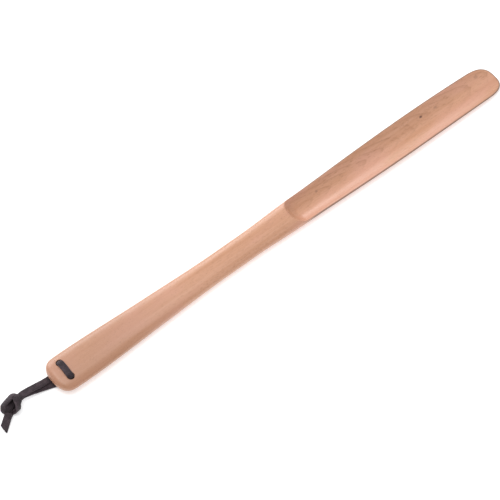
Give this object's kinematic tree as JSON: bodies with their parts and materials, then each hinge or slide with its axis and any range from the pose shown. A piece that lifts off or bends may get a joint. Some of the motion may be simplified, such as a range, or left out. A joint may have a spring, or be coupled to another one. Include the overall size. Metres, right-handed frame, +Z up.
{
  "type": "long shoehorn",
  "caption": "Long wooden shoehorn carved in one piece: an oval handle with a narrow waist, a scooped blade with a rounded tip, and a flat leather hanging loop tied through the butt.",
  "frame": {"origin": "on the surface that the shoehorn lies on, under the middle of the wood's length and width", "axes": "+X along the length from the butt to the blade's tip, +Z up out of the front face and the scoop, +Y across the width"},
  "size_m": [0.6178, 0.0392, 0.0167],
  "materials": {
    "beech": "satin clear lacquer on steamed beech",
    "lace": "flat dark brown leather lace, matt"
  },
  "bodies": {
    "wood": {"shoehorn_body": "beech", "lace_thread": "lace"},
    "loop": {"lace_leg_upper": "lace", "lace_leg_lower": "lace", "lace_knot": "lace"},
    "tail_upper": {"lace_tail_upper": "lace"},
    "tail_lower": {"lace_tail_lower": "lace"}
  },
  "joints": [
    {"name": "loop_swing", "type": "hinge", "parent": "wood", "child": "loop", "pos_m": [-0.2592, 0, 0.0012], "axis": [0, -1, 0], "range_deg": [0, 160]},
    {"name": "upper_tail_lift", "type": "hinge", "parent": "loop", "child": "tail_upper", "pos_m": [-0.32907, -0.00157, 0.0054], "axis": [-0.5299, 0.848, 0], "range_deg": [0, 70]},
    {"name": "lower_tail_drop", "type": "hinge", "parent": "loop", "child": "tail_lower", "pos_m": [-0.32811, -0.00241, 0.003], "axis": [0.612, -0.7909, 0], "range_deg": [0, 70]}
  ]
}
